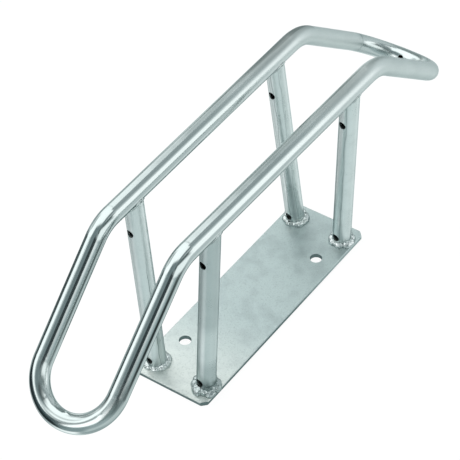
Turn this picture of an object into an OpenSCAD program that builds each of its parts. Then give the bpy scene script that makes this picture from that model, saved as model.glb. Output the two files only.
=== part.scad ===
// Galvanised steel holder for one bicycle wheel, fixed to a wall or a floor by its base plate.
// The plate lies on z = 0 and +Z points away from the wall. X runs along the plate, from the
// deep front bend at -X to the nose at +X. Left is +Y and right is -Y. Sizes are in millimetres.

/* [Base plate] */
// Length of the flat bar
plate_l = 290; // [240:1:360]
// Width of the flat bar
plate_w = 90; // [80:1:120]
// Thickness of the flat bar
plate_t = 5; // [4:0.5:8]
// Size of the clipped corners
plate_corner = 6; // [2:0.5:9]
// Break on the sheared edges, top and bottom
plate_edge = 0.8; // [0.3:0.1:1.5]
// Diameter of the two anchor holes
anchor_d = 13; // [9:0.5:15]
// Distance of each anchor hole from its end of the plate
anchor_inset_x = 60; // [45:1:90]
// Distance of each anchor hole from the plate's nearer long edge
anchor_inset_y = 22; // [14:1:40]

/* [Loop] */
// Outer diameter of the bent tube
tube_d = 20; // [16:0.5:24]
// Wall of the bent tube
tube_wall = 2; // [1.5:0.1:3]
// Height of the rails' centre line above the wall face
rail_h = 222; // [180:1:260]
// Distance between the rails' centre lines at the front corner
front_spacing = 88; // [80:1:110]
// Distance between the rails' centre lines at the nose corner
nose_spacing = 92; // [80:1:110]
// How far the front corner stands out past the end of the plate
front_overhang = 20; // [15:1:60]
// How far the nose corner stands out past the end of the plate
nose_overhang = 20; // [16:1:60]
// Slope of the front legs towards the wall, in degrees
front_slope = 42; // [20:1:60]
// Slope of the nose legs towards the wall, in degrees
nose_slope = 38; // [20:1:42]
// Length of a front leg, from its corner to the start of the closing bend
front_leg = 135; // [80:1:170]
// Length of a nose leg, from its corner to the start of the closing bend
nose_leg = 120; // [80:1:150]
// Bend radius at the front corners, on the centre line
front_corner_r = 38; // [30:1:60]
// Bend radius at the nose corners, on the centre line
nose_corner_r = 55; // [40:1:88]
// Width of the faint ridge that the bending die leaves at each end of a bend
die_mark_w = 2; // [1:0.1:3]
// Height of the die's ridge
die_mark_h = 0.06; // [0.04:0.01:0.12]
// Diameter of the drain hole inside the nose bend
drain_d = 5; // [3:0.5:8]
// Angle of the drain hole from the middle of the nose bend, towards the left
drain_turn = 3; // [-40:1:40]

/* [Posts] */
// Outer diameter of the posts
post_d = 20; // [16:0.5:22]
// Wall of the posts
post_wall = 2; // [1.5:0.1:3]
// Distance of a post's centre from its end of the plate
post_inset_x = 21; // [19:1:40]
// Distance of a post's centre from the plate's long edge
post_inset_y = 15.5; // [15.5:0.5:20]
// How much nearer to the middle a post's top stands than its foot
post_lean = 6; // [0:1:20]
// How far the front right post is set in from the line of its pair
front_right_set = 3; // [0:0.5:6]
// Diameter of the zinc vent holes in the posts
vent_d = 8.5; // [4:0.5:9]
// Angle of the vent holes from the front of the rack, towards the left, in degrees
vent_turn = 10; // [0:1:30]
// Distance of the upper vent hole from the rail's centre line, down the post
upper_vent_drop = 42; // [30:1:60]
// Distance of the lower vent hole from the plate, up the post
lower_vent_rise = 9; // [9:0.5:20]

/* [Welds] */
// Width of the fillet weld round a post's foot
foot_weld_w = 4; // [2.5:0.5:4]
// Height of the fillet weld round a post's foot
foot_weld_h = 4.5; // [3:0.5:5]
// Width of the weld between a post and its rail
rail_weld_w = 3; // [2:0.5:4]
// Height of the beads' crowns above a straight line between their toes
weld_crown = 0.9; // [0.4:0.1:1.5]
// Width of the butt weld that closes the loop
butt_weld_w = 4; // [2:0.5:6]
// Height of the butt weld
butt_weld_h = 0.4; // [0.2:0.1:1]
// Angle of the butt weld from the middle of the nose bend, towards the left
butt_weld_turn = 78; // [30:1:84]

/* [Hidden] */

$fn = 72;
overrun = 1;                // how far a cut runs past what it cuts
zinc = [0.72, 0.76, 0.76];
bead_zinc = [0.80, 0.83, 0.83];
front = -1;
rear = 1;
left = 1;
right = -1;
up = [0, 0, 1];

tube_r = tube_d / 2;
tube_bore_r = tube_r - tube_wall;
post_r = post_d / 2;
post_bore_r = post_r - post_wall;
front_corner_x = plate_l / 2 + front_overhang;
nose_corner_x = plate_l / 2 + nose_overhang;
post_foot_x = plate_l / 2 - post_inset_x;
post_foot_y = plate_w / 2 - post_inset_y;

// Each side of the loop stands in an upright plane that opens towards the nose by this angle.
flare = asin((nose_spacing - front_spacing) / 2 / (front_corner_x + nose_corner_x));
mid_y = front_spacing / 2 + front_corner_x * sin(flare);
front_tangent = front_corner_r * tan(front_slope / 2);
nose_tangent = nose_corner_r * tan(nose_slope / 2);
rail_start = -front_corner_x + front_tangent;
rail_end = nose_corner_x - nose_tangent;

// Where each closing bend starts: its place along the side's plane, and its height
front_end_s = -front_corner_x - front_leg * cos(front_slope);
front_end_z = rail_h - front_leg * sin(front_slope);
nose_end_s = nose_corner_x + nose_leg * cos(nose_slope);
nose_end_z = rail_h - nose_leg * sin(nose_slope);

// Each closing bend lies in a sloping plane of its own and meets its two legs without a kink.
front_close = asin(cos(front_slope) * sin(flare));
nose_close = -asin(cos(nose_slope) * sin(flare));
front_tilt = atan2(sin(front_slope), cos(front_slope) * cos(flare));
nose_tilt = atan2(sin(nose_slope), cos(nose_slope) * cos(flare));
front_bend_r = (mid_y + front_end_s * sin(flare)) / cos(front_close);
nose_bend_r = (mid_y + nose_end_s * sin(flare)) / cos(nose_close);

// The two horns of a post's coped mouth are ground off this share of the tube's radius below
// the rail's centre line.
horn_trim_share = 0.3;
horn_z = rail_h - tube_r * horn_trim_share;

// A bead has this many sections round its post, and steps across its face.
bead_steps = 48;
bead_face_steps = 5;
bead_fit = 0.1;             // between a bead's straight facets and the round tubes
wander_share = 0.14;
ripple_share = 0.20;
ripples = 15;
seed_end = 47;              // turns the lumps of each bead to places of their own
seed_side = 115;

function unit(v) = v / norm(v);
function across(v, along) = v - (v * along) * along;
function at_height(p, way, z) = p + way * (z - p[2]) / way[2];

// Half the distance between the rails at place x
function rail_y(x) = mid_y + x * tan(flare);

function set_in(end, side) = end == front && side == right ? front_right_set : 0;
function foot_place(end, side) =
    [end * post_foot_x + set_in(end, side), side * post_foot_y, plate_t];
function top_place(end, side) =
    let (x = end * (post_foot_x - post_lean) + set_in(end, side))
    [x, side * rail_y(x), rail_h];
function post_axis(end, side) = unit(top_place(end, side) - foot_place(end, side));

// Direction out of a post's surface, at an angle round its axis from +X
function out_of_post(axis, angle) =
    let (u = unit(cross([0, 1, 0], axis)), v = cross(axis, u))
    cos(angle) * u + sin(angle) * v;

// How full a bead is at an angle round its post: a slow wander and the welder's ripples
function fullness(angle, seed) =
    let (wander = (sin(3 * angle + seed) + sin(5 * angle - 2 * seed)) / 2,
        ripple = abs(sin(ripples / 2 * angle + seed)))
    1 - wander_share * (1 + wander) / 2 - ripple_share * (1 - ripple);

// Places across a bead's face, from one toe to the other, crowned along out
function bead_face(from, to, out, full) = [
    for (i = [0:bead_face_steps])
        let (t = i / bead_face_steps)
        from * (1 - t) + to * t + out * weld_crown * full * sin(180 * t)
];

// One section of the fillet round a post's foot
function foot_section(end, side, angle) =
    let (foot = foot_place(end, side), axis = post_axis(end, side),
        out = out_of_post(axis, angle), seed = seed_end * end + seed_side * side,
        full = fullness(angle, seed), r = post_r / cos(180 / bead_steps) + bead_fit,
        root = at_height(foot + r * out, axis, plate_t),
        toe = root + foot_weld_w * full * unit(across(out, up)),
        top = at_height(root, axis, plate_t + foot_weld_h * full))
    concat([root], bead_face(toe, top, unit(out + up), full));

// A place on the rail's surface, along the rail and round it from its underside
function on_rail(top, rail, along, turn) =
    top + rail * along
        + (tube_r + bead_fit) * (sin(turn) * cross(up, rail) - cos(turn) * up);

// How far down the post its surface meets the rail, or the rail's centre line beside it
function seam_drop(start, axis, rail) =
    let (a = across(axis, rail), b = across(start, rail),
        inside = (a * b) ^ 2 - (a * a) * (b * b - (tube_r + bead_fit) ^ 2))
    -(a * b + sqrt(max(0, inside))) / (a * a);

// One section of the weld along the saddle between a post and its rail
function rail_section(end, side, angle) =
    let (top = top_place(end, side), axis = post_axis(end, side),
        rail = [cos(flare), side * sin(flare), 0],
        out = out_of_post(axis, angle), seed = seed_end * side + seed_side * end,
        full = fullness(angle, seed), wide = rail_weld_w * full,
        start = out * (post_r / cos(180 / bead_steps) + bead_fit),
        meet = top + start + axis * seam_drop(start, axis, rail),
        seam = meet[2] > horn_z ? at_height(meet, axis, horn_z) : meet,
        along = (seam - top) * rail,
        turn = atan2((seam - top) * cross(up, rail), rail_h - seam[2]),
        wide_turn = wide / tube_r * 180 / PI,
        middle = on_rail(top, rail, along + wide * cos(angle) / 2, turn + wide_turn * sin(angle) / 2),
        toe = on_rail(top, rail, along + wide * cos(angle), turn + wide_turn * sin(angle)))
    concat([middle, seam], bead_face(seam - axis * wide, toe, unit(2 * out - up), full));

// Triangles of a closed ring of sections, each with this many corners
function ring_faces(corners) = [
    for (i = [0:bead_steps - 1], j = [0:corners - 1])
        let (here = i * corners, next = (i + 1) % bead_steps * corners, k = (j + 1) % corners)
        each [[here + j, next + k, here + k], [here + j, next + j, next + k]]
];

module foot_weld(end, side) {
    sections = [for (i = [0:bead_steps - 1]) foot_section(end, side, i * 360 / bead_steps)];
    color(bead_zinc)
        polyhedron([for (s = sections) each s], ring_faces(len(sections[0])));
}

module rail_weld(end, side) {
    sections = [for (i = [0:bead_steps - 1]) rail_section(end, side, i * 360 / bead_steps)];
    color(bead_zinc)
        polyhedron([for (s = sections) each s], ring_faces(len(sections[0])));
}

// Carries its children from the side's own plane, where x runs along the rail
module on_side(side) {
    mirror([0, side == left ? 0 : 1, 0])
        translate([0, mid_y, 0])
            rotate([0, 0, flare])
                children();
}

// A straight run between two places in a side's plane, with the die's marks where it meets the
// bends. Each mark spans the hair's breadth between the run and its bend.
module side_bar(from, to, r) {
    run = to - from;
    hair = die_mark_w / 8;
    translate([from[0], 0, from[1]])
        rotate([0, atan2(run[0], run[1]), 0]) {
            translate([0, 0, hair])
                cylinder(h = norm(run) - 2 * hair, r = r);
            for (end = [0, norm(run)])
                translate([0, 0, end])
                    rotate_extrude()
                        polygon([[0, -die_mark_w / 2], [r - die_mark_h, -die_mark_w / 2],
                            [r + die_mark_h, 0], [r - die_mark_h, die_mark_w / 2],
                            [0, die_mark_w / 2]]);
        }
}

// A bend in a side's plane, round a centre below the rail
module side_bend(s, bend_r, start, turn, r) {
    translate([s, 0, rail_h - bend_r])
        rotate([90, 0, 0])
            rotate([0, 0, start])
                rotate_extrude(angle = turn)
                    translate([bend_r, 0])
                        circle(r = r);
}

// Carry their children into the plane of a closing bend, where x runs out along the legs
module on_front_bend() {
    translate([front_end_s * cos(flare), 0, front_end_z])
        rotate([0, 180 - front_tilt, 0])
            translate([-front_bend_r * sin(front_close), 0, 0])
                children();
}

module on_nose_bend() {
    translate([nose_end_s * cos(flare), 0, nose_end_z])
        rotate([0, nose_tilt, 0])
            translate([-nose_bend_r * sin(nose_close), 0, 0])
                children();
}

module closing_bend(bend_r, close, r) {
    rotate([0, 0, close - 90])
        rotate_extrude(angle = 180 - 2 * close)
            translate([bend_r, 0])
                circle(r = r);
}

// One side of the loop, from closing bend to closing bend
module loop_side(r) {
    front_corner = [-front_corner_x, rail_h];
    nose_corner = [nose_corner_x, rail_h];
    front_way = [-cos(front_slope), -sin(front_slope)];
    nose_way = [cos(nose_slope), -sin(nose_slope)];
    side_bar(front_corner + front_way * front_leg, front_corner + front_way * front_tangent, r);
    side_bend(rail_start, front_corner_r, 90, front_slope, r);
    side_bar([rail_start, rail_h], [rail_end, rail_h], r);
    side_bend(rail_end, nose_corner_r, 90 - nose_slope, nose_slope, r);
    side_bar(nose_corner + nose_way * nose_tangent, nose_corner + nose_way * nose_leg, r);
}

module whole_loop(r) {
    on_side(left) loop_side(r);
    on_side(right) loop_side(r);
    on_front_bend() closing_bend(front_bend_r, front_close, r);
    on_nose_bend() closing_bend(nose_bend_r, nose_close, r);
}

module loop_tube() {
    color(zinc)
        difference() {
            whole_loop(tube_r);
            whole_loop(tube_bore_r);
            on_nose_bend()
                rotate([0, 0, drain_turn])
                    translate([nose_bend_r - tube_r - overrun, 0, 0])
                        rotate([0, 90, 0])
                            cylinder(h = tube_r + overrun, d = drain_d);
        }
}

// The seam that closes the loop: a low bead round the tube, in the nose bend. The bend curves
// towards the straight bead over its width, so the bead gets that much more room.
module loop_butt_weld() {
    w = butt_weld_w / 2;
    curve = w ^ 2 / (nose_bend_r - tube_r) / 2;
    inner_r = (tube_r + bead_fit + curve) / cos(180 / $fn);
    crown = [for (a = [-90:15:90]) [inner_r + butt_weld_h * cos(a), w * sin(a)]];
    color(bead_zinc)
        on_nose_bend()
            rotate([0, 0, butt_weld_turn])
                translate([nose_bend_r, 0, 0])
                    rotate([90, 0, 0])
                        rotate_extrude()
                            polygon(crown);
}

// The plate's section across one of its directions, with its four edges broken
module broken_edges(width) {
    h = width / 2;
    e = plate_edge;
    polygon([[e - h, 0], [h - e, 0], [h, e], [h, plate_t - e],
        [h - e, plate_t], [e - h, plate_t], [-h, plate_t - e], [-h, e]]);
}

module base_plate() {
    l = plate_l / 2;
    w = plate_w / 2;
    c = plate_corner;
    color(zinc)
        difference() {
            intersection() {
                linear_extrude(plate_t)
                    polygon([[l - c, -w], [l, c - w], [l, w - c], [l - c, w],
                        [c - l, w], [-l, w - c], [-l, c - w], [c - l, -w]]);
                rotate([90, 0, 0])
                    linear_extrude(plate_w + 2 * overrun, center = true)
                        broken_edges(plate_l);
                rotate([90, 0, 90])
                    linear_extrude(plate_l + 2 * overrun, center = true)
                        broken_edges(plate_w);
            }
            for (end = [front, rear])
                translate([end * (l - anchor_inset_x), end * (anchor_inset_y - w), -overrun])
                    cylinder(h = plate_t + 2 * overrun, d = anchor_d);
        }
}

// A bar along a post's axis that runs past both of its ends
module post_bar(end, side, r) {
    foot = foot_place(end, side);
    axis = post_axis(end, side);
    translate(foot - axis * post_d)
        rotate([-acos(axis[2]), 0, atan2(-axis[0], axis[1])])
            cylinder(h = norm(top_place(end, side) - foot) + 2 * post_d, r = r);
}

// A tube post: cut flat on the plate, coped to the rail and drilled with its two vents
module post(end, side) {
    foot = foot_place(end, side);
    top = top_place(end, side);
    axis = post_axis(end, side);
    room = 2 * (post_d + mid_y + post_lean);
    color(zinc)
        difference() {
            intersection() {
                post_bar(end, side, post_r);
                translate(foot)
                    linear_extrude(horn_z - plate_t)
                        square(room, center = true);
            }
            post_bar(end, side, post_bore_r);
            on_side(side)
                translate([rail_start, 0, rail_h])
                    rotate([0, 90, 0])
                        cylinder(h = rail_end - rail_start, r = tube_r);
            for (p = [foot + axis * lower_vent_rise, top - axis * upper_vent_drop])
                translate(p)
                    rotate([0, -90, -vent_turn])
                        cylinder(h = post_d, d = vent_d);
        }
}

base_plate();
loop_tube();
post(front, left);  // front_left_post
post(front, right);  // front_right_post
post(rear, left);  // rear_left_post
post(rear, right);  // rear_right_post
foot_weld(front, left);  // front_left_foot_weld
foot_weld(front, right);  // front_right_foot_weld
foot_weld(rear, left);  // rear_left_foot_weld
foot_weld(rear, right);  // rear_right_foot_weld
rail_weld(front, left);  // front_left_rail_weld
rail_weld(front, right);  // front_right_rail_weld
rail_weld(rear, left);  // rear_left_rail_weld
rail_weld(rear, right);  // rear_right_rail_weld
loop_butt_weld();
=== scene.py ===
"""A galvanised holder for one bicycle wheel, seen from above its deep front bend."""
import math

import bpy
import numpy as np
from mathutils import Matrix, Vector, noise


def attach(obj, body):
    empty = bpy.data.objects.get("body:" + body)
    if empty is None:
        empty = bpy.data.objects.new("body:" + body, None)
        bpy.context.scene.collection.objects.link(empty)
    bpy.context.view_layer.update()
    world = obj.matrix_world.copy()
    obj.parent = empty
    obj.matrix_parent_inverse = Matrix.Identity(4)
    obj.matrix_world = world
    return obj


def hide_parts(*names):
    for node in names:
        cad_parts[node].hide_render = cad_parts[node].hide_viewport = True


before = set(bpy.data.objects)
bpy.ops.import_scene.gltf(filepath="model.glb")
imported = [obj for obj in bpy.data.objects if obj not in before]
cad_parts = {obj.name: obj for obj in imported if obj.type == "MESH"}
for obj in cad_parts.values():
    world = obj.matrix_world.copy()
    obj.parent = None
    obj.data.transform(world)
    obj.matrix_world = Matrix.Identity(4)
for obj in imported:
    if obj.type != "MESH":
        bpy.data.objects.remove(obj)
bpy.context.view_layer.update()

# Camera: its place in metres, its turn in radians, its focal length in pixels of the frame
FRAME_PX = 460
SENSOR_MM = 36
FOCAL_PX = 2059.07
CAMERA_AT = Vector((-1.18009, -0.89466, 1.53265))
YAW = 0.66087
PITCH = 0.76716
ROLL = 0.0614907
CLIP_FROM, CLIP_TO = 0.05, 50
WHITE = (1, 1, 1, 1)


def make_camera():
    data = bpy.data.cameras.new("camera")
    data.sensor_width = SENSOR_MM
    data.lens = FOCAL_PX * SENSOR_MM / FRAME_PX
    data.clip_start = CLIP_FROM
    data.clip_end = CLIP_TO
    camera = bpy.data.objects.new("camera", data)
    bpy.context.scene.collection.objects.link(camera)
    ahead = Vector((math.cos(YAW) * math.cos(PITCH), math.sin(YAW) * math.cos(PITCH),
                    -math.sin(PITCH)))
    level = Vector((math.sin(YAW), -math.cos(YAW), 0))
    down = ahead.cross(level)
    right = math.cos(ROLL) * level + math.sin(ROLL) * down
    below = math.cos(ROLL) * down - math.sin(ROLL) * level
    turn = Matrix((right, -below, -ahead)).transposed()
    camera.matrix_world = Matrix.Translation(CAMERA_AT) @ turn.to_4x4()
    bpy.context.scene.camera = camera


class Shading:
    """Adds nodes to one node tree and joins them up."""

    def __init__(self, tree):
        self.tree = tree
        tree.nodes.clear()

    def add(self, kind, inputs=None, **settings):
        node = self.tree.nodes.new(kind)
        for name, value in settings.items():
            setattr(node, name, value)
        for name, value in (inputs or {}).items():
            self.put(node, name, value)
        return node

    def put(self, node, name, value):
        socket = node.inputs[name]
        if isinstance(value, bpy.types.Node):
            value = value.outputs[0]
        if isinstance(value, bpy.types.NodeSocket):
            self.tree.links.new(value, socket)
        else:
            socket.default_value = value

    def math(self, operation, a, b=0.0):
        return self.add("ShaderNodeMath", {0: a, 1: b}, operation=operation)

    def noise(self, place, scale, detail):
        """Soft noise over a surface."""
        node = self.add("ShaderNodeTexNoise", {"Vector": place, "Scale": scale, "Detail": detail})
        return node.outputs["Fac"]

    def along(self, vector, axis):
        """How far a vector goes along one axis."""
        return self.add("ShaderNodeSeparateXYZ", {0: vector}).outputs[axis]

    def dot(self, a, b):
        node = self.add("ShaderNodeVectorMath", {0: a, 1: b}, operation="DOT_PRODUCT")
        return node.outputs["Value"]

    def span(self, value, from_min, from_max, to_min=0.0, to_max=1.0, smooth=False):
        """Maps one range of a value onto another, and holds it at both ends."""
        return self.add(
            "ShaderNodeMapRange",
            {"Value": value, "From Min": from_min, "From Max": from_max,
             "To Min": to_min, "To Max": to_max},
            interpolation_type="SMOOTHSTEP" if smooth else "LINEAR",
        )

    def mix(self, factor, a, b):
        """Mixes two colours, by the sockets of the node's colour form."""
        node = self.add("ShaderNodeMix", data_type="RGBA", blend_type="MIX")
        for index, value in ((0, factor), (6, a), (7, b)):
            self.put(node, index, value)
        return node.outputs[2]


# The studio: soft boxes and dark flags round the rack. Each has the azimuth and elevation of its
# centre, half its width and height and the turn of its long side, all in degrees, how soft its edge
# is, and its colour. Later ones lie over earlier ones.
ROOM = (0.68, 0.75, 0.76)
PANELS = {
    "arch": (90, 102, 20, 36, 90, 8, (0.26, 0.31, 0.32)),
    "top": (90, 62, 44, 29, 90, 5, (1.45, 1.50, 1.50)),
    "top_dim": (-160, 64, 35, 13, 0, 12, (0.24, 0.30, 0.31)),
    "low_front": (-140, -35, 62, 40, 0, 20, (0.44, 0.53, 0.54)),
    "low_mid": (-140, -44, 42, 13, 0, 12, (0.70, 0.79, 0.79)),
    "low_right": (-65, -48, 34, 22, 0, 16, (0.70, 0.78, 0.78)),
    "low_back": (-25, -43, 16, 12, 0, 12, (1.1, 1.15, 1.15)),
    "low_white": (90, -70, 62, 13, 0, 12, (1.7, 1.7, 1.7)),
    "grey_right": (-82, 45, 34, 8, -22, 7, (0.12, 0.16, 0.16)),
    "back_dim": (31, 28, 15, 30, 0, 8, (0.30, 0.36, 0.36)),
    "dim_top": (-4, 52, 24, 6, 0, 8, (0.38, 0.44, 0.45)),
    "sill": (63, 11, 20, 9, 0, 8, (0.38, 0.43, 0.42)),
    "long_box": (90, 47, 35, 35, 90, 3, (1.50, 1.55, 1.55)),
    "dim_gap": (88, 25, 13, 8, 0, 8, (0.60, 0.66, 0.66)),
    "dim_wall": (-140, 14, 22, 20, 0, 8, (0.24, 0.31, 0.31)),
    "dark_front_top": (-168, 48, 18, 14, 0, 10, (0.28, 0.35, 0.36)),
    "dark_left_top": (168, 54, 14, 16, 0, 12, (0.22, 0.28, 0.29)),
    "lens": (-139, 32, 20, 9, -40, 12, (0.04, 0.055, 0.06)),
    "left_low": (165, -22, 22, 24, 0, 14, (0.34, 0.43, 0.44)),
    "dark_left": (122, -14, 28, 25, 0, 8, (0.03, 0.045, 0.05)),
    "dark_left_up": (144, 10, 12, 14, 0, 8, (0.09, 0.13, 0.14)),
    "dark_slit": (92, -8, 9, 5, 0, 6, (0.06, 0.08, 0.08)),
    "glow_back": (46, -18, 12, 20, 0, 10, (1.5, 1.5, 1.5)),
    "glow_left": (80, -38, 22, 8, -20, 8, (1.3, 1.3, 1.3)),
    "dark_right": (-82, -15, 18, 6, -42, 7, (0.13, 0.17, 0.17)),
    "box_right": (-90, 19, 32, 14, -38, 6, (1.30, 1.35, 1.35)),
    "box_far": (-53, 16.5, 9, 20, 0, 7, (1.45, 1.48, 1.48)),
    "box_front": (177, 17, 21, 13, 0, 5, (1.75, 1.75, 1.75)),
    "box_left": (128, 32, 15, 15, 10, 6, (1.55, 1.60, 1.60)),
    "gap": (144, 34, 7, 1.5, 0, 3, (0.60, 0.66, 0.66)),
}


def toward(azimuth, elevation):
    a, e = math.radians(azimuth), math.radians(elevation)
    return Vector((math.cos(e) * math.cos(a), math.cos(e) * math.sin(a), math.sin(e)))


def make_world():
    world = bpy.data.worlds.new("studio")
    bpy.context.scene.world = world
    world.use_nodes = True
    n = Shading(world.node_tree)
    way = n.add("ShaderNodeTexCoord").outputs["Generated"]
    light = (*ROOM, 1)
    for azimuth, elevation, half_w, half_h, turn, edge, colour in PANELS.values():
        centre = toward(azimuth, elevation)
        side = Vector((-math.sin(math.radians(azimuth)), math.cos(math.radians(azimuth)), 0))
        top = centre.cross(side)
        t = math.radians(turn)
        side, top = side * math.cos(t) + top * math.sin(t), top * math.cos(t) - side * math.sin(t)
        across = n.math("ARCTAN2", n.dot(way, side), n.dot(way, centre))
        along = n.math("ARCSINE", n.dot(way, top))
        inside = None
        for angle, half in ((across, half_w), (along, half_h)):
            part = n.span(
                n.math("ABSOLUTE", angle),
                math.radians(half + edge / 2), math.radians(max(half - edge / 2, 0)), smooth=True)
            inside = part if inside is None else n.math("MULTIPLY", inside, part)
        light = n.mix(inside, light, (*colour, 1))
    seen = n.add("ShaderNodeLightPath").outputs["Is Camera Ray"]
    shown = n.mix(seen, light, WHITE)
    sky = n.add("ShaderNodeBackground", {"Color": shown, "Strength": 1.0})
    n.add("ShaderNodeOutputWorld", {"Surface": sky})


# The floor: half its width and how far it lies under the plate, in metres, how much of the shadow
# on it shows, and how bright its white is
FLOOR_HALF = 3.0
FLOOR_DROP = 0.0004
FLOOR_SHADOW = 0.12
FLOOR_GLOW = 1.06
FLOOR_PAPER = (0.9, 0.9, 0.9, 1)


def make_floor():
    mesh = bpy.data.meshes.new("floor")
    h = FLOOR_HALF
    corners = [(x, y, -FLOOR_DROP) for x, y in ((-h, -h), (h, -h), (h, h), (-h, h))]
    mesh.from_pydata(corners, [], [(0, 1, 2, 3)])
    floor = bpy.data.objects.new("floor", mesh)
    bpy.context.scene.collection.objects.link(floor)
    material = bpy.data.materials.new("floor_white")
    material.use_nodes = True
    n = Shading(material.node_tree)
    paper = n.add("ShaderNodeBsdfDiffuse", {"Color": FLOOR_PAPER})
    glow = n.add("ShaderNodeEmission", {"Color": WHITE, "Strength": FLOOR_GLOW})
    ray = n.add("ShaderNodeLightPath")
    share = n.math("MULTIPLY", ray.outputs["Is Camera Ray"], 1 - FLOOR_SHADOW)
    surface = n.add("ShaderNodeMixShader", {0: share, 1: paper, 2: glow})
    n.add("ShaderNodeOutputMaterial", {"Surface": surface})
    mesh.materials.append(material)
    floor.visible_glossy = False


# Driving sizes of the rack, in millimetres. The frame has the same ones.
MM = 0.001
PLATE_L, PLATE_W, PLATE_T = 290, 90, 5
TUBE_R, TUBE_WALL = 10, 2
RAIL_H = 222
FRONT_SPACING, NOSE_SPACING = 88, 92
FRONT_OVERHANG, NOSE_OVERHANG = 20, 20
FRONT_SLOPE, NOSE_SLOPE = math.radians(42), math.radians(38)
FRONT_LEG, NOSE_LEG = 135, 120
FRONT_CORNER_R, NOSE_CORNER_R = 38, 55
DRAIN_D, DRAIN_TURN = 5, math.radians(3)
POST_R = 10
POST_INSET_X, POST_INSET_Y, POST_LEAN, FRONT_RIGHT_SET = 21, 15.5, 6, 3
FOOT_WELD_W, FOOT_WELD_H, RAIL_WELD_W = 4, 4.5, 3
BUTT_TURN = math.radians(78)
HORN_TRIM_SHARE = 0.3
LEFT, RIGHT, FRONT, REAR = 1, -1, -1, 1
CORNERS = {(FRONT, LEFT): "front_left", (FRONT, RIGHT): "front_right",
           (REAR, LEFT): "rear_left", (REAR, RIGHT): "rear_right"}

FRONT_CORNER_X = PLATE_L / 2 + FRONT_OVERHANG
NOSE_CORNER_X = PLATE_L / 2 + NOSE_OVERHANG
FLARE = math.asin((NOSE_SPACING - FRONT_SPACING) / 2 / (FRONT_CORNER_X + NOSE_CORNER_X))
MID_Y = FRONT_SPACING / 2 + FRONT_CORNER_X * math.sin(FLARE)
FRONT_TANGENT = FRONT_CORNER_R * math.tan(FRONT_SLOPE / 2)
NOSE_TANGENT = NOSE_CORNER_R * math.tan(NOSE_SLOPE / 2)


class ClosingBend:
    """The bend that joins two legs, in a sloping plane of its own."""

    def __init__(self, end, corner, leg, slope):
        self.s = end * (corner + leg * math.cos(slope))
        self.z = RAIL_H - leg * math.sin(slope)
        self.close = -end * math.asin(math.cos(slope) * math.sin(FLARE))
        tilt = math.atan2(math.sin(slope), math.cos(slope) * math.cos(FLARE))
        self.turn = tilt if end == REAR else math.pi - tilt
        self.r = (MID_Y + self.s * math.sin(FLARE)) / math.cos(self.close)

    def point(self, angle, r=None):
        """A place at an angle from the bend's middle, towards the left."""
        r = self.r if r is None else r
        out = r * math.cos(angle) - self.r * math.sin(self.close)
        y = r * math.sin(angle)
        return np.array((self.s * math.cos(FLARE) + out * math.cos(self.turn), y,
                         self.z - out * math.sin(self.turn)))


FRONT_BEND = ClosingBend(FRONT, FRONT_CORNER_X, FRONT_LEG, FRONT_SLOPE)
NOSE_BEND = ClosingBend(REAR, NOSE_CORNER_X, NOSE_LEG, NOSE_SLOPE)


def on_left(s, z):
    """A place in the left side's own plane."""
    return np.array((s * math.cos(FLARE), MID_Y + s * math.sin(FLARE), z))


def left_half():
    """The stretches of the loop's left half, from the front bend to the nose. Each has a function
    that gives the place at a share of the way, and a length in millimetres."""
    front_way = np.array((-math.cos(FRONT_SLOPE), -math.sin(FRONT_SLOPE)))
    nose_way = np.array((math.cos(NOSE_SLOPE), -math.sin(NOSE_SLOPE)))
    front_corner = np.array((-FRONT_CORNER_X, RAIL_H))
    nose_corner = np.array((NOSE_CORNER_X, RAIL_H))
    rail_start = FRONT_TANGENT - FRONT_CORNER_X
    rail_end = NOSE_CORNER_X - NOSE_TANGENT

    def run(a, b):
        return (lambda t: on_left(*(a * (1 - t) + b * t))), np.linalg.norm(b - a)

    def bend(s, r, a, b):
        def place(t):
            angle = a * (1 - t) + b * t
            return on_left(s + r * math.cos(angle), RAIL_H - r + r * math.sin(angle))
        return place, abs(b - a) * r

    up = math.pi / 2
    front_end, nose_end = up - FRONT_BEND.close, up - NOSE_BEND.close
    return [
        (lambda t: FRONT_BEND.point(front_end * t), front_end * FRONT_BEND.r),
        run(front_corner + front_way * FRONT_LEG, front_corner + front_way * FRONT_TANGENT),
        bend(rail_start, FRONT_CORNER_R, up + FRONT_SLOPE, up),
        run(np.array((rail_start, RAIL_H)), np.array((rail_end, RAIL_H))),
        bend(rail_end, NOSE_CORNER_R, up, up - NOSE_SLOPE),
        run(nose_corner + nose_way * NOSE_TANGENT, nose_corner + nose_way * NOSE_LEG),
        (lambda t: NOSE_BEND.point(nose_end * (1 - t)), nose_end * NOSE_BEND.r),
    ]


# Distance between the rings of the loop's mesh, in millimetres
RING_STEP = 1.6


def half_line():
    """Places along the left half, and where its stretches meet."""
    places, joints = [], []
    for place, length in left_half():
        steps = max(2, round(length / RING_STEP))
        places += [place(i / steps) for i in range(steps)]
        joints.append(place(1))
    places.append(joints[-1])
    return np.array(places), np.array(joints[:-1])


def unit(v):
    return v / np.linalg.norm(v)


def frames(line, first):
    """Two directions across a line at each of its places, carried along it without a twist."""
    tangents = np.gradient(line, axis=0)
    tangents[0] = line[1] - line[0]
    tangents /= np.linalg.norm(tangents, axis=1)[:, None]
    across = [first]
    for t in tangents[1:]:
        across.append(unit(across[-1] - (across[-1] @ t) * t))
    across = np.array(across)
    return across, np.cross(tangents, across)


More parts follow.
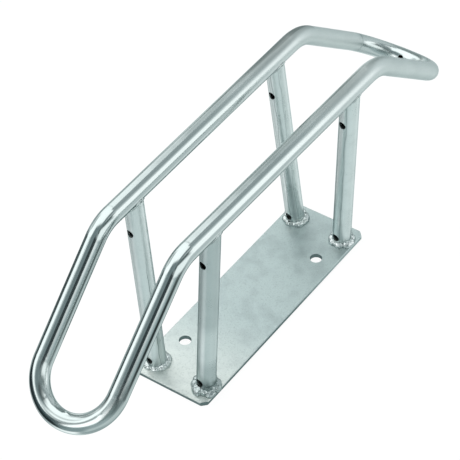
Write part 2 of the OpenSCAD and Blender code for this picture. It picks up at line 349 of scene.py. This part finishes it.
def loop_rings(sides, r):
    """Rings of places round the whole closed loop, at a radius, and the way out of each."""
    line, joints = half_line()
    out_front = unit(FRONT_BEND.point(0) - FRONT_BEND.point(0, 0))
    out_nose = unit(NOSE_BEND.point(0) - NOSE_BEND.point(0, 0))
    one, two = frames(line, out_front)
    twist = math.atan2(two[-1] @ out_nose, one[-1] @ out_nose)
    twist -= math.pi * round(twist / math.pi)
    share = np.linspace(0, twist, len(line))[:, None]
    cos, sin = np.cos(share), np.sin(share)
    one, two = one * cos + two * sin, two * cos - one * sin
    angle = np.linspace(0, 2 * math.pi, sides, endpoint=False)
    ways = one[:, None] * np.cos(angle)[None, :, None] + two[:, None] * np.sin(angle)[None, :, None]
    spots = line[:, None] + r * ways
    flip = np.array((1, -1, 1))
    spots = np.concatenate([spots, (spots * flip)[-2:0:-1]])
    ways = np.concatenate([ways, (ways * flip)[-2:0:-1]])
    joints = np.concatenate([joints, joints * flip])
    return spots, ways, joints


def ring_faces(rings, sides, start=0, inward=False):
    """Faces between closed rings of places, the last ring joined to the first."""
    faces = []
    for i in range(rings):
        for j in range(sides):
            a, b = i * sides, (i + 1) % rings * sides
            k = (j + 1) % sides
            face = (start + a + j, start + a + k, start + b + k, start + b + j)
            faces.append(face[::-1] if inward else face)
    return faces


# Where each seed moves the noise to, and the noise's own roughness and step between octaves
SEED_SHIFT = (17.3, 5.1, 9.7)
NOISE_ROUGH, NOISE_STEP = 0.6, 2.0


def noise_at(spots, size, seed, octaves):
    """Soft noise about zero with features of about this size in millimetres."""
    shift = Vector([seed * step for step in SEED_SHIFT])
    return np.array([noise.fractal(Vector(p) / size + shift, NOISE_ROUGH, NOISE_STEP, octaves)
                     for p in spots])


def add_mesh(name, spots, faces, material, slot, *nodes):
    """A smooth piece in the rack's frame, from places in millimetres."""
    mesh = bpy.data.meshes.new(name)
    mesh.from_pydata([tuple(p * MM) for p in spots], [], faces)
    mesh.update()
    mesh.polygons.foreach_set("use_smooth", [True] * len(mesh.polygons))
    mesh.materials.append(material)
    piece = bpy.data.objects.new(name, mesh)
    bpy.context.scene.collection.objects.link(piece)
    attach(piece, "root")
    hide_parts(*nodes)
    return piece


# Sides round the tube, its bore and the drill of the drain hole, and how far in millimetres the
# drill goes past the wall
TUBE_SIDES, BORE_SIDES, DRILL_SIDES = 96, 32, 48
DRILL_PAST = 1
# The tube's skin, in millimetres: how far in it lies, its waves with a height, a size and a seed
# each, and the ridge where two stretches meet
SKIN_IN = 0.06
SKIN_WAVES = [(0.04, 22, 1), (0.003, 6, 2)]
RIDGE_H, RIDGE_HALF_W = 0.06, 1.4
# Zinc runs and blisters on the loop: place, radius and height in millimetres
RUNS = [
    ((-293.5, 21.8, 117.4), 1.3, 0.35),
    ((-294.6, -4.4, 112.6), 1.5, 0.9),
    ((-287.7, -38.7, 124.9), 1.2, 0.3),
    ((287.3, 18.8, 131.0), 6.0, 0.35),
    ((290.5, 11.0, 128.0), 1.6, 0.5),
]
# The tube turns satin towards the nose, in millimetres along X: where that starts, over how far it
# grows, and how slowly
SATIN_FROM, SATIN_OVER, SATIN_SLOWLY = -30, 230, 1.3
# The inner face of the nose stays glossier: by how much, over how many millimetres that sets in,
# and how far out it reaches as a share of the bend's radius, with its soft edge
INNER_GLOSS, INNER_SET_IN, INNER_REACH, INNER_EDGE = 0.8, 12, 0.99, 0.08

# Patches where the zinc is painted darker, painted dark reflections, and patches of more satin
# zinc:
# the middle's u and v, half the size each way, and how strong. On the front bend and its legs, in
# front of FRONT_UP_TO along X, u is degrees round the bend from its middle, beyond 90 it is 90 and
# the millimetres up a leg, and v is degrees round the tube. On the rails, above RAILS_FROM_Z, u is
# millimetres along X and v is degrees round the tube from its top.
FRONT_PAINTED_DARK = [
    (170, 41, 60, 15, 1.0),
    (150, 198, 60, 9, 0.5),
    (-150, 22, 62, 7, 0.95),
    (-35, 90, 62, 4.5, 0.5),
    (42, 116, 16, 12, 0.75),
    (-8, 107, 30, 5, 0.45),
    (-25, 131, 14, 7, 0.5),
    (-45, 121, 14, 8, 0.35),
    (-76, 112, 15, 8, 0.7),
    (-72, 68, 13, 8, 0.35),
    (-88, 40, 20, 13, 0.55),
    (0, 62, 16, 6, 0.45),
]
FRONT_SATIN = [(58, 150, 40, 45, 0.28), (-80, 60, 30, 60, 0.2)]
FRONT_UP_TO = -172
FAR_PAINTED_DARK = [
    (-110, 31, 60, 7, 0.35),
    (45, 24, 45, 8, 0.55),
    (125, 26, 72, 30, 0.7),
    (142, 3, 40, 14, 0.6),
    (130, -15, 60, 24, 0.35),
]
NEAR_PAINTED_DARK = [(112, 24, 40, 9, 0.6), (118, -5, 58, 26, 0.3)]
RAILS_FROM_Z = 210


def patches(marks, u, v):
    """How strong the patches are at each place. Their edges are soft."""
    strength = np.zeros(len(u))
    for at_u, at_v, half_u, half_v, most in marks:
        away = ((u - at_u) / half_u) ** 2 + ((v - at_v) / half_v) ** 2
        strength = np.maximum(strength, most * np.exp(-away ** 2))
    return strength


def painted_dark_and_satin_of(middle, ways):
    """How strongly each place on the loop is painted darker, as painted dark reflection, and how
    satin it is at the front bend, from the places on the centre line and the ways out of it."""
    centre = FRONT_BEND.point(0, 0)
    out = unit(FRONT_BEND.point(0) - centre)
    normal = np.cross((0, 1, 0), out)
    normal *= np.sign(normal[2])
    from_centre = middle - centre
    past = from_centre @ out
    hand = np.sign(middle[:, 1])
    round_bend = np.degrees(np.arctan2(from_centre[:, 1], past))
    along = np.where(past > 0, round_bend, hand * (90 - past))
    radial = from_centre - (from_centre @ normal)[:, None] * normal
    radial /= np.linalg.norm(radial, axis=1)[:, None]
    radial[past <= 0] = np.stack([0 * hand, hand, 0 * hand], 1)[past <= 0]
    around = np.degrees(np.arctan2(ways @ normal, (ways * radial).sum(1))) % 360
    front = middle[:, 0] < FRONT_UP_TO
    painted_dark = np.where(front, patches(FRONT_PAINTED_DARK, along, around), 0)
    tilt = np.degrees(np.arctan2(ways[:, 1], ways[:, 2]))
    far, near = (patches(marks, middle[:, 0], tilt) for marks in (FAR_PAINTED_DARK, NEAR_PAINTED_DARK))
    painted_dark = painted_dark + np.where(middle[:, 2] > RAILS_FROM_Z, np.where(hand > 0, far, near), 0)
    return painted_dark, np.where(front, patches(FRONT_SATIN, along, around), 0)


def make_loop(material):
    spots, ways, joints = loop_rings(TUBE_SIDES, TUBE_R)
    rings = len(spots)
    spots, ways = spots.reshape(-1, 3), ways.reshape(-1, 3)
    lift = np.full(len(spots), -SKIN_IN)
    for height, size, seed in SKIN_WAVES:
        lift += height * noise_at(spots, size, seed, octaves=1)
    for joint in joints:
        away = np.linalg.norm(spots - ways * TUBE_R - joint, axis=1)
        lift += RIDGE_H * np.clip(1 - away / RIDGE_HALF_W, 0, 1)
    for place, radius, height in RUNS:
        away = np.linalg.norm(spots - np.array(place), axis=1) / radius
        lift += height * np.exp(-away ** 2)
    spots = spots + ways * lift[:, None]
    bore, _, _ = loop_rings(BORE_SIDES, TUBE_R - TUBE_WALL)
    bore = bore.reshape(-1, 3)
    faces = ring_faces(rings, TUBE_SIDES) + ring_faces(rings, BORE_SIDES, len(spots), inward=True)
    loop = add_mesh("bent_tube", np.concatenate([spots, bore]), faces, material, "tube_zinc",
                    "loop_tube")
    middle = spots - ways * TUBE_R
    satin = np.clip((middle[:, 0] - SATIN_FROM) / SATIN_OVER, 0, 1) ** SATIN_SLOWLY
    nose_centre = NOSE_BEND.point(0, 0)
    inside = np.linalg.norm(spots - nose_centre, axis=1) / NOSE_BEND.r
    past = (middle - NOSE_BEND.point(math.pi / 2)) @ unit(NOSE_BEND.point(0) - nose_centre)
    inner = np.clip((INNER_REACH - inside) / INNER_EDGE, 0, 1)
    satin *= 1 - INNER_GLOSS * np.clip(past / INNER_SET_IN, 0, 1) * inner
    # One point layer says where the tube is painted darker, painted dark reflections; the other
    # says where it is satin.
    painted_dark, satin_front = painted_dark_and_satin_of(middle, ways)
    for name, values in (("satin", np.maximum(satin, satin_front)), ("painted_dark", painted_dark)):
        layer = loop.data.attributes.new(name, "FLOAT", "POINT")
        layer.data.foreach_set("value", np.concatenate([values, np.zeros(len(bore))]))
    drill(loop)


def drill(loop):
    """Cuts the drain hole through the tube's inner wall, at the nose."""
    centre = NOSE_BEND.point(DRAIN_TURN, NOSE_BEND.r - TUBE_R) * MM
    way = unit(NOSE_BEND.point(DRAIN_TURN) - NOSE_BEND.point(DRAIN_TURN, 0))
    bpy.ops.mesh.primitive_cylinder_add(vertices=DRILL_SIDES, radius=DRAIN_D / 2 * MM,
                                        depth=2 * (TUBE_WALL + DRILL_PAST) * MM, location=centre)
    drill_bit = bpy.context.object
    drill_bit.rotation_mode = "QUATERNION"
    drill_bit.rotation_quaternion = Vector(way).to_track_quat("Z", "Y")
    bpy.context.view_layer.update()
    cut = loop.modifiers.new("drain", "BOOLEAN")
    cut.object = drill_bit
    cut.solver = "EXACT"
    bpy.context.view_layer.objects.active = loop
    loop.select_set(True)
    bpy.ops.object.modifier_apply(modifier=cut.name)
    bpy.data.objects.remove(drill_bit)


def inset_of(end, side):
    """How far a post stands off its place along X. Only the front right one does."""
    return FRONT_RIGHT_SET if (end, side) == (FRONT, RIGHT) else 0


def foot_place(end, side):
    """Where a post's axis meets the plate's top."""
    x = end * (PLATE_L / 2 - POST_INSET_X) + inset_of(end, side)
    return np.array((x, side * (PLATE_W / 2 - POST_INSET_Y), PLATE_T))


def top_place(end, side):
    """Where a post's axis meets its rail's centre line."""
    x = end * (PLATE_L / 2 - POST_INSET_X - POST_LEAN) + inset_of(end, side)
    return np.array((x, side * (MID_Y + x * math.tan(FLARE)), RAIL_H))


def post_axis(end, side):
    return unit(top_place(end, side) - foot_place(end, side))


def round_post(axis, angle):
    """The way out of a post at an angle round it, from the rear towards the left."""
    u = unit(np.cross((0, 1, 0), axis))
    return math.cos(angle) * u + math.sin(angle) * np.cross(axis, u)


# Steps round a bead and across its face
BEAD_STEPS, BEAD_FACE_STEPS = 220, 12
# How full a bead is between its puddles, and each puddle's shift as a share of their spacing, its
# width and its swell
BEAD_LEAST = 0.62
PUDDLE_SHIFT, PUDDLE_WIDTH, PUDDLE_SWELL = (-0.3, 0.3), (0.8, 1.25), (0.22, 0.5)
# How round a bead's face is, its lumps with a height, a size in millimetres and a step of the seed
# each, and how much of the lumps its toes keep, and how soon they grow from there
FACE_ROUND = 0.85
FACE_LUMPS = [(0.5, 2.2, 0), (0.13, 0.9, 3)]
TOE_KEEP, TOE_GROW = 0.25, 0.4


def lumps(count, seed):
    """How full a bead is round its post: overlapping puddles of uneven size."""
    draw = np.random.default_rng(seed)
    angle = np.linspace(0, 2 * math.pi, BEAD_STEPS, endpoint=False)
    full = np.full(BEAD_STEPS, BEAD_LEAST)
    for i in range(count):
        middle = (i + draw.uniform(*PUDDLE_SHIFT)) / count * 2 * math.pi
        away = np.angle(np.exp(1j * (angle - middle)))
        width = math.pi / count * draw.uniform(*PUDDLE_WIDTH)
        dome = np.sqrt(np.clip(1 - (away / width) ** 2, 0, 1))
        full = np.maximum(full, BEAD_LEAST + draw.uniform(*PUDDLE_SWELL) * dome)
    return angle, full


def bead_spots(sections, seed, rough):
    """Rough places of a bead from its sections, each a root and two toes."""
    spots = []
    for root, low, high in sections:
        row = [root]
        for i in range(BEAD_FACE_STEPS + 1):
            t = i / BEAD_FACE_STEPS * math.pi / 2
            row.append(root + (low - root) * math.cos(t) ** FACE_ROUND
                       + (high - root) * math.sin(t) ** FACE_ROUND)
        spots.append(row)
    spots = np.array(spots)
    out = spots - spots[:, :1]
    size = np.linalg.norm(out, axis=2, keepdims=True)
    flat = spots.reshape(-1, 3)
    swell = rough * sum(height * noise_at(flat, wide, seed + step, octaves=2)
                        for height, wide, step in FACE_LUMPS)
    keep = np.sin(np.linspace(0, math.pi, BEAD_FACE_STEPS + 1)) ** TOE_GROW
    keep = np.concatenate([[0], TOE_KEEP + (1 - TOE_KEEP) * keep])[None, :, None]
    return spots + out / np.maximum(size, 1e-6) * swell.reshape(spots.shape[:2])[:, :, None] * keep


def make_bead(name, sections, seed, rough, material, node):
    spots = bead_spots(sections, seed, rough)
    rings, sides = spots.shape[:2]
    add_mesh(name, spots.reshape(-1, 3), ring_faces(rings, sides, inward=True), material,
             "weld_zinc", node)


# Where each foot bead is heaviest, in degrees round its post, by how much, and its puddles' count
HEAVY = {(FRONT, LEFT): (-50, 0.35, 9), (FRONT, RIGHT): (-140, 1.5, 8),
         (REAR, LEFT): (-60, 0.35, 8), (REAR, RIGHT): (-110, 0.25, 9)}
# How full the foot beads are elsewhere, how narrow the heavy part is, how much wider than the plain
# solid they run out on the plate, and how high they reach up the post at most
FOOT_FULL, HEAVY_FOCUS, FOOT_SPREAD, FOOT_TOP = 0.94, 2.2, 1.2, 1.25


def foot_sections(end, side, seed):
    heavy_at, heavy, count = HEAVY[end, side]
    foot, axis = foot_place(end, side), post_axis(end, side)
    sections = []
    for angle, full in zip(*lumps(count, seed)):
        out = round_post(axis, angle)
        focus = HEAVY_FOCUS * math.cos(angle - math.radians(heavy_at)) - HEAVY_FOCUS
        full = full * (FOOT_FULL + heavy * math.exp(focus))
        root = foot + POST_R * out
        root = root + axis * (PLATE_T - root[2]) / axis[2]
        level = unit(out * (1, 1, 0))
        high = FOOT_WELD_H * min(full, FOOT_TOP)
        sections.append((root, root + FOOT_WELD_W * FOOT_SPREAD * full * level, root + high * axis))
    return sections


# The count of a rail bead's puddles, its width as a share of the plain solid's, and how much of
# that it loses at the rear and gains at the front
RAIL_PUDDLES, RAIL_FULL, RAIL_SLANT = 13, 0.64, 0.2


def on_rail(top, rail, along, turn):
    """A place on a rail's skin, a distance along it and an angle round it from its underside."""
    up = np.array((0, 0, 1))
    return top + rail * along + TUBE_R * (math.sin(turn) * np.cross(up, rail) - math.cos(turn) * up)


def rail_sections(end, side, seed):
    top, axis = top_place(end, side), post_axis(end, side)
    rail = np.array((math.cos(FLARE), side * math.sin(FLARE), 0))
    beside = np.cross((0, 0, 1), rail)
    horn_z = RAIL_H - TUBE_R * HORN_TRIM_SHARE
    sections = []
    for angle, full in zip(*lumps(RAIL_PUDDLES, seed)):
        out = round_post(axis, angle)
        start = out * POST_R
        a = axis - (axis @ rail) * rail
        b = start - (start @ rail) * rail
        inside = (a @ b) ** 2 - (a @ a) * (b @ b - TUBE_R ** 2)
        drop = -(a @ b + math.sqrt(max(0, inside))) / (a @ a)
        meet = top + start + axis * drop
        seam = meet if meet[2] <= horn_z else meet + axis * (horn_z - meet[2]) / axis[2]
        along = (seam - top) @ rail
        turn = math.atan2((seam - top) @ beside, RAIL_H - seam[2])
        wide = RAIL_WELD_W * full * (RAIL_FULL - RAIL_SLANT * math.cos(angle))
        toe = on_rail(top, rail, along + wide * math.cos(angle),
                      turn + wide / TUBE_R * math.sin(angle))
        sections.append((seam, toe, seam - axis * wide))
    return sections


# The loop's seam, in millimetres: half its width, its height, and how far under the tube's skin
# its root and its toes lie. Then the counts of its sides, face steps and puddles, the seed of the
# puddles, and the small turn in radians over which its direction is measured.
SEAM_HALF_W, SEAM_H, SEAM_ROOT, SEAM_IN = 1.1, 0.16, 0.5, 0.1
SEAM_SIDES, SEAM_FACE_STEPS, SEAM_PUDDLES, SEAM_SEED = 120, 9, 26, 3
SMALL_TURN = 0.01


def make_seam(material):
    """The low bead that closes the loop, ground nearly flush with the tube."""
    middle = NOSE_BEND.point(BUTT_TURN)
    out = unit(middle - NOSE_BEND.point(BUTT_TURN, 0))
    along = unit(NOSE_BEND.point(BUTT_TURN + SMALL_TURN) - NOSE_BEND.point(BUTT_TURN - SMALL_TURN))
    beside = np.cross(out, along)
    _, full = lumps(SEAM_PUDDLES, SEAM_SEED)
    full = np.interp(np.linspace(0, len(full), SEAM_SIDES, endpoint=False),
                     np.arange(len(full)), full)
    turns = np.linspace(0, 2 * math.pi, SEAM_SIDES, endpoint=False)
    spots = []
    for turn, share in zip(turns, full):
        way = math.cos(turn) * out + math.sin(turn) * beside
        spots.append(middle + (TUBE_R - SEAM_ROOT) * way)
        for t in np.linspace(-math.pi / 2, math.pi / 2, SEAM_FACE_STEPS):
            spots.append(middle + (TUBE_R - SEAM_IN + SEAM_H * share * math.cos(t)) * way
                         + SEAM_HALF_W * share * math.sin(t) * along)
    add_mesh("loop_seam", np.array(spots), ring_faces(SEAM_SIDES, SEAM_FACE_STEPS + 1), material,
             "weld_zinc", "loop_butt_weld")


# First seeds of the beads, and how rough the nearest foot's, the other feet's and the rails' are
FOOT_SEED, RAIL_SEED = 5, 25
NEAR_ROUGH, FOOT_ROUGH, RAIL_ROUGH = 1.5, 0.9, 0.6


def make_beads(material, painted_dark):
    """The beads of all four posts. The front right foot has a rougher one, in a darker copy of the
    weld zinc that is painted shade.
    """
    for i, ((end, side), name) in enumerate(CORNERS.items()):
        near = (end, side) == (FRONT, RIGHT)
        # The nearest foot's bead takes the darker copy of the weld zinc: painted shade.
        rough, bead_zinc = (NEAR_ROUGH, painted_dark) if near else (FOOT_ROUGH, material)
        foot_seed, rail_seed = FOOT_SEED + i, RAIL_SEED + i
        make_bead(name + "_foot_bead", foot_sections(end, side, foot_seed), foot_seed, rough,
                  bead_zinc, name + "_foot_weld")
        make_bead(name + "_rail_bead", rail_sections(end, side, rail_seed), rail_seed, RAIL_ROUGH,
                  material, name + "_rail_weld")


# The posts' lines are counted from the side that the photo shows. This is its camera's level way
# in radians from X towards Y, as a number of its own, so that the lines stay on their places on the
# posts whatever the camera does.
LINES_TURN = 0.66087
LINES_WAY = unit(np.array((math.cos(LINES_TURN), math.sin(LINES_TURN), 0)))
LINES_SIDE = np.array((math.sin(LINES_TURN), -math.cos(LINES_TURN), 0))
# How the lines waver, with the noise's scale and span and how far they go in metres, how much of
# their width is full, and the depth in metres over which they end at the post's sides
WAVER_SCALE, WAVER_SPAN, WAVER = 35.0, (0.2, 0.8), 0.0012
LINE_CORE, LINE_END = 0.3, 0.001
# Dark lines along each post, painted reflections of dark things round it: how far to the right of
# its axis, seen that way, as a share of the radius, half the width in millimetres and how dark
PAINTED_REFLECTION_LINES = {
    (FRONT, LEFT): [(0.42, 0.6, 0.8)],
    (FRONT, RIGHT): [],
    (REAR, LEFT): [(-0.52, 1.1, 0.6), (0.30, 0.9, 0.4)],
    (REAR, RIGHT): [(-0.35, 1.1, 0.45), (-0.95, 1.5, 0.3)],
}


def painted_reflection_mask(n, place, end, side, share, half_w):
    """Where a line along the side of a post that the photo shows lies."""
    # The line is a painted dark reflection.
    foot, axis = foot_place(end, side), post_axis(end, side)
    out = unit(share * LINES_SIDE - math.sqrt(1 - share ** 2) * LINES_WAY)
    beside = unit(np.cross(axis, out))
    waver = n.span(n.noise(place, WAVER_SCALE, 1.0), *WAVER_SPAN, -WAVER, WAVER)
    away = n.math("SUBTRACT", n.dot(place, tuple(beside)), float(foot @ beside) * MM)
    away = n.math("ABSOLUTE", n.math("ADD", away, waver))
    near = n.math("SUBTRACT", n.dot(place, tuple(out)), float(foot @ out) * MM)
    mask = n.span(away, half_w * MM, LINE_CORE * half_w * MM, smooth=True)
    return n.math("MULTIPLY", mask, n.span(near, -LINE_END, LINE_END))


# The colours of dark marks and of the patches of painted dark reflection
DARK_ZINC = (0.30, 0.36, 0.36)
PAINTED_DARK_ZINC = (0.08, 0.10, 0.10)
# The grain's scale and its height in metres, and the spans of the clouds and the grain in which
# frost, dark clouds, dark specks and a varied roughness set in
GRAIN_SCALE, GRAIN_H = 700.0, 0.0002
FROST_SPAN, CLOUD_SPAN, SPECK_SPAN, ROUGH_SPAN = (0.4, 0.6), (0.3, 0.5), (0.55, 0.75), (0.3, 0.7)
# How much darker the specks are than the clouds
SPECK_MORE = 1.5
# In metres: where the plate's fade, its paler front end painted as a highlight, starts and is full
# along X, and the height of a post's sheen, a paler band painted as a highlight, with the distances
# at which it starts and is full
FRONT_HIGHLIGHT_X = (-0.02, -0.14)
HIGHLIGHT_BAND_Z, HIGHLIGHT_BAND_AWAY = 0.068, (0.034, 0.014)
# The plate's steep sides and hole walls, where the normal's Z is small, are painted darker, a
# painted shade, from none to all of the colour. The plate's long sides, past these metres of Y,
# show
# less of it towards the rear: from and to these metres of X, by up to this share.
EDGE_SHADE_STEEP = (0.8, 0.3)
LONG_SIDE_Y = (0.040, 0.042)
EDGE_SHADE_LESS_X, EDGE_SHADE_LESS = (0.0, 0.09), 0.75


def painted_edge_shade(n, place):
    """How much a place on the plate shows the dark colour of its steep sides, a painted shade."""
    steep = n.math("ABSOLUTE", n.along(n.add("ShaderNodeNewGeometry").outputs["Normal"], "Z"))
    long_side = n.span(n.math("ABSOLUTE", n.along(place, "Y")), *LONG_SIDE_Y)
    less = n.math("MULTIPLY", long_side,
                  n.span(n.along(place, "X"), *EDGE_SHADE_LESS_X, 0.0, EDGE_SHADE_LESS, smooth=True))
    return n.math("MULTIPLY", n.span(steep, *EDGE_SHADE_STEEP), n.math("SUBTRACT", 1.0, less))


def zinc(name, tint, pale, roughness, marks, relief, satin=None, post=None, cloud_scale=45.0,
         cut=None, painted_front_highlight=None, speck=0.15, painted_highlight=None):
    """Galvanised steel, from a clear and a frosted colour and roughness.

    marks is how strong the dark marks are and relief how deep the grain is. satin names a point
    layer that says where the zinc is frosted, in place of clouds. post is the post whose dark
    lines, painted reflections, are drawn, cut the dark colour of the plate's steep sides, a painted
    shade, fade the paler colour of the plate's front end, a painted highlight, speck how much the
    roughness varies and sheen the colour of a paler band round a post, a painted highlight.
    """
    material = bpy.data.materials.new(name)
    material.use_nodes = True
    n = Shading(material.node_tree)
    place = n.add("ShaderNodeTexCoord").outputs["Object"]
    cloud = n.noise(place, cloud_scale, 5.0)
    grain = n.noise(place, GRAIN_SCALE, 3.0)
    if satin:
        frost = n.add("ShaderNodeAttribute", attribute_name=satin).outputs["Fac"]
    else:
        frost = n.span(cloud, *FROST_SPAN)
    dark = (*DARK_ZINC, 1)
    colour = n.mix(frost, (*tint, 1), (*pale, 1))
    # The plate's front end turns paler: a painted highlight.
    if painted_front_highlight:
        colour = n.mix(n.span(n.along(place, "X"), *FRONT_HIGHLIGHT_X, smooth=True), colour, (*painted_front_highlight, 1))
    # A paler band round a post: a painted highlight.
    if painted_highlight:
        away = n.math("ABSOLUTE", n.math("SUBTRACT", n.along(place, "Z"), HIGHLIGHT_BAND_Z))
        colour = n.mix(n.span(away, *HIGHLIGHT_BAND_AWAY, smooth=True), colour, (*painted_highlight, 1))
    colour = n.mix(n.span(cloud, *CLOUD_SPAN, marks, 0.0), colour, dark)
    colour = n.mix(n.span(grain, *SPECK_SPAN, 0.0, marks * SPECK_MORE), colour, dark)
    # Where a point layer says so, the colour is painted darker: painted dark reflections.
    if satin:
        painted_dark = n.add("ShaderNodeAttribute", attribute_name="painted_dark").outputs["Fac"]
        colour = n.mix(painted_dark, colour, (*PAINTED_DARK_ZINC, 1))
    # Dark lines along the posts: painted reflections.
    for share, half_w, depth in (PAINTED_REFLECTION_LINES[post] if post else ()):
        mask = painted_reflection_mask(n, place, *post, share, half_w)
        colour = n.mix(n.math("MULTIPLY", mask, depth), colour, dark)
    # The plate's steep sides and hole walls are painted darker: painted shade.
    if cut:
        colour = n.mix(painted_edge_shade(n, place), colour, (*cut, 1))
    rough = n.span(frost, 0.0, 1.0, *roughness)
    rough = n.math("MULTIPLY", rough, n.span(grain, *ROUGH_SPAN, 1 - speck, 1 + speck))
    bump = n.add("ShaderNodeBump", {"Height": grain, "Strength": relief, "Distance": GRAIN_H})
    bsdf = n.add("ShaderNodeBsdfPrincipled",
                 {"Base Color": colour, "Roughness": rough, "Normal": bump})
    bsdf.inputs["Metallic"].default_value = 1.0
    bsdf.inputs["Specular Tint"].default_value = dark
    n.add("ShaderNodeOutputMaterial", {"Surface": bsdf})
    return material


def dress_node(node, material):
    """Gives a solid of the frame its material."""
    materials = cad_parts[node].data.materials
    materials.clear()
    materials.append(material)


# The posts' clear and frosted colours. The front right post, the nearest, gets a darker copy of
# them, painted shade, with a paler band that is a painted highlight.
POST_TINTS = (0.79, 0.85, 0.84), (0.85, 0.91, 0.90)
NEAR_POST_SHADED_TINTS = (0.54, 0.61, 0.605), (0.59, 0.66, 0.655)
NEAR_POST_HIGHLIGHT = (0.72, 0.79, 0.78)


def dress():
    tube = zinc("tube_zinc", (0.60, 0.655, 0.65), (0.80, 0.85, 0.84), (0.13, 0.52),
                marks=0.06, relief=0.01, satin="satin", speck=0.03)
    # The plate's dark steep sides are painted shade, and its paler front end is a painted
    # highlight.
    plate = zinc("plate_zinc", (0.52, 0.60, 0.60), (0.58, 0.665, 0.66), (0.42, 0.52),
                 marks=0.2, relief=0.6, cloud_scale=60.0, cut=(0.19, 0.245, 0.245),
                 painted_front_highlight=(0.82, 0.86, 0.83))
    bead = zinc("weld_zinc", (0.70, 0.75, 0.74), (0.84, 0.88, 0.88), (0.22, 0.32),
                marks=0.35, relief=0.3)
    # A darker copy of the weld zinc for the nearest foot, painted shade, with more dark marks.
    shaded_bead = zinc("shaded_weld_zinc", (0.46, 0.52, 0.51), (0.66, 0.72, 0.72), (0.22, 0.32),
                     marks=0.6, relief=0.4)
    seam = zinc("seam_zinc", (0.50, 0.56, 0.55), (0.62, 0.68, 0.67), (0.40, 0.50),
                marks=0.3, relief=0.3)
    make_loop(tube)
    make_beads(bead, shaded_bead)
    make_seam(seam)
    for corner, name in CORNERS.items():
        near = corner == (FRONT, RIGHT)
        # The nearest post's darker tints are painted shade.
        tints = NEAR_POST_SHADED_TINTS if near else POST_TINTS
        post = zinc(name + "_post_zinc", *tints, (0.30, 0.38), marks=0.06, relief=0.08,
                    post=corner, painted_highlight=NEAR_POST_HIGHLIGHT if near else None)
        dress_node(name + "_post", post)
    dress_node("base_plate", plate)


make_camera()
make_world()
make_floor()
dress()
bpy.context.scene.view_settings.view_transform = "Standard"
